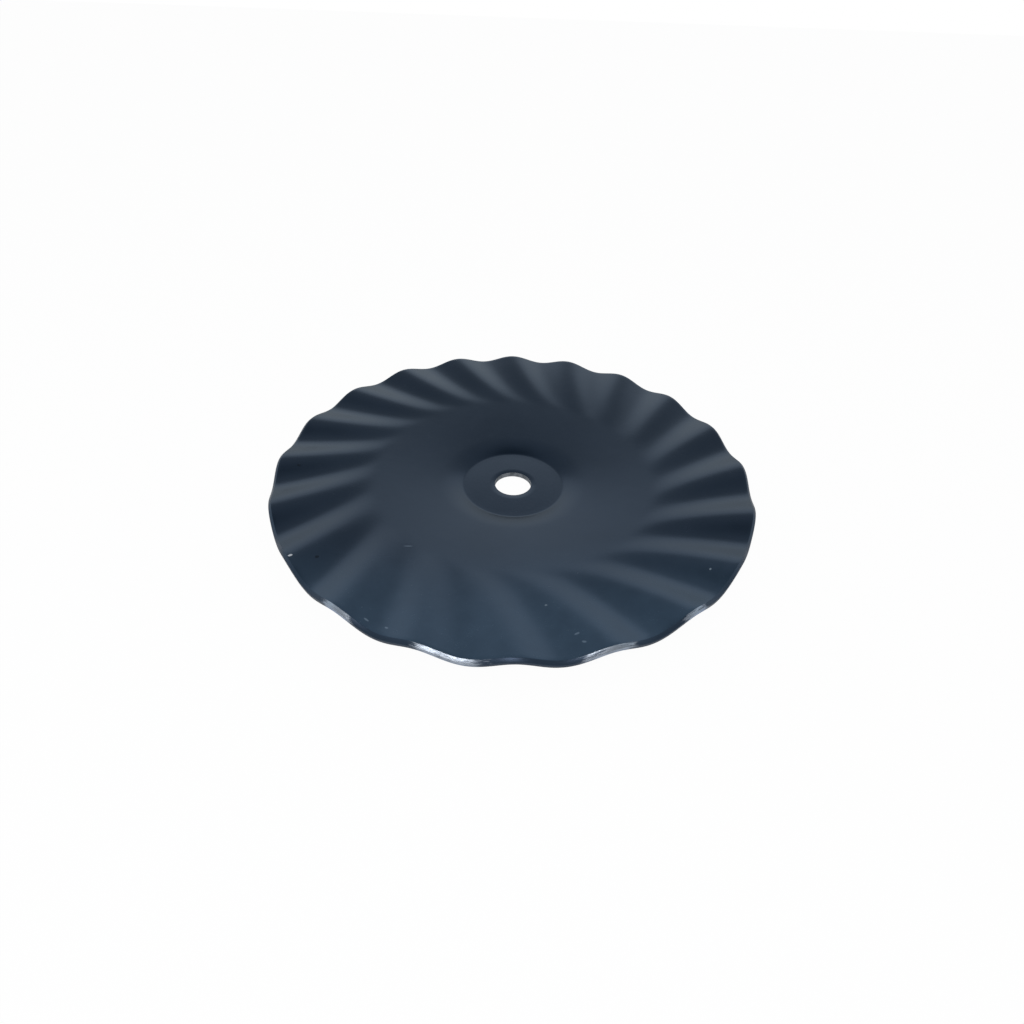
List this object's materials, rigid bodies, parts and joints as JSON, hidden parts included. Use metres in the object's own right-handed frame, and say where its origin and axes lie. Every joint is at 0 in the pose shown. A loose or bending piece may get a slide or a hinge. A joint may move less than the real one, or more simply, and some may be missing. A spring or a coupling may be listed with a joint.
{
  "type": "harrow disc blade",
  "caption": "Shallow dished harrow disc blade with swept wavy flutes, a recessed flat hub seat and a plain round centre bore.",
  "frame": {"origin": "on the bore's axis, at the underside of the hub seat", "axes": "+Z along the bore's axis, out of the hollow side; a flute crest meets the rim on +X"},
  "size_m": [0.5588, 0.5588, 0.0395],
  "materials": {
    "painted_steel": "semi-gloss blue-black paint over pressed steel, worn thin along the ground bevel"
  },
  "bodies": {
    "root": {"disc_blade": "painted_steel"}
  },
  "joints": []
}
